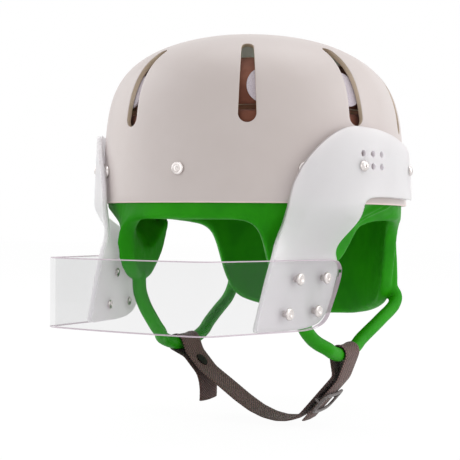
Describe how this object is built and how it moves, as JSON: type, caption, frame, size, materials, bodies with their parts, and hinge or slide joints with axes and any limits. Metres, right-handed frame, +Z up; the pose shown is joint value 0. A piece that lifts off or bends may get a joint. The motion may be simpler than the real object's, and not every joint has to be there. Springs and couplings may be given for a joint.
{
  "type": "hard shell helmet with face bar",
  "caption": "Protective hard shell helmet with vent slots, green foam liner, translucent side plates, a clear face bar and a snap-fastened chin strap.",
  "frame": {"origin": "middle of the helmet's width, on the plane of the shell's rim, level with its widest point: the middle of the opening that the head goes into", "axes": "+Z up through the crown, -Y towards the face bar, +X towards the wearer's left"},
  "size_m": [0.2134, 0.3149, 0.2616],
  "materials": {
    "shell_plastic": "satin, slightly waxy",
    "green_foam": "soft satin vinyl dip",
    "brown_pad": "brushed fabric over foam",
    "hook_dot": "matte woven hook disc",
    "bright_metal": "polished nickel",
    "plain_steel": "plain zinc",
    "plate_plastic": "translucent white, satin",
    "clear_plastic": "clear, polished, 3 mm polycarbonate",
    "spacer_plastic": "matte",
    "brown_webbing": "ribbed woven elastic",
    "dark_cap": "painted metal cap, satin",
    "slider_metal": "dark oxidised wire"
  },
  "bodies": {
    "helmet": {"hard_shell": "shell_plastic", "foam_liner": "green_foam", "ring_pad": "brown_pad", "front_crown_pad": "brown_pad", "back_crown_pad": "brown_pad", "left_crown_pad": "brown_pad", "right_crown_pad": "brown_pad", "hook_dots": "hook_dot", "left_chin_loop": "green_foam", "right_chin_loop": "green_foam", "liner_rivets": "bright_metal", "liner_rivet_washers": "plain_steel", "left_side_plate": "plate_plastic", "right_side_plate": "plate_plastic", "face_bar": "clear_plastic", "left_bar_rivets": "bright_metal", "right_bar_rivets": "bright_metal", "left_plate_screws": "bright_metal", "right_plate_screws": "bright_metal", "left_plate_spacers": "spacer_plastic", "right_plate_spacers": "spacer_plastic", "left_tee_nuts": "plain_steel", "right_tee_nuts": "plain_steel"},
    "chin_strap": {"strap_webbing": "brown_webbing", "snap_stud": "dark_cap"},
    "snap_flap": {"strap_flap": "brown_webbing", "snap_cap": "dark_cap"},
    "slider": {"strap_slider": "slider_metal"}
  },
  "joints": [
    {"name": "chin_strap_swing", "type": "hinge", "parent": "helmet", "child": "chin_strap", "pos_m": [0, 0.025, -0.026], "axis": [1, 0, 0], "range_deg": [-10, 10]},
    {"name": "snap_flap_open", "type": "hinge", "parent": "chin_strap", "child": "snap_flap", "pos_m": [-0.06588, 0.025, -0.10585], "axis": [0, 1, 0], "range_deg": [0, 60]},
    {"name": "slider_slide", "type": "slide", "parent": "chin_strap", "child": "slider", "axis": [-0.6555, 0, -0.7552], "range_m": [-0.006, 0.004]}
  ]
}
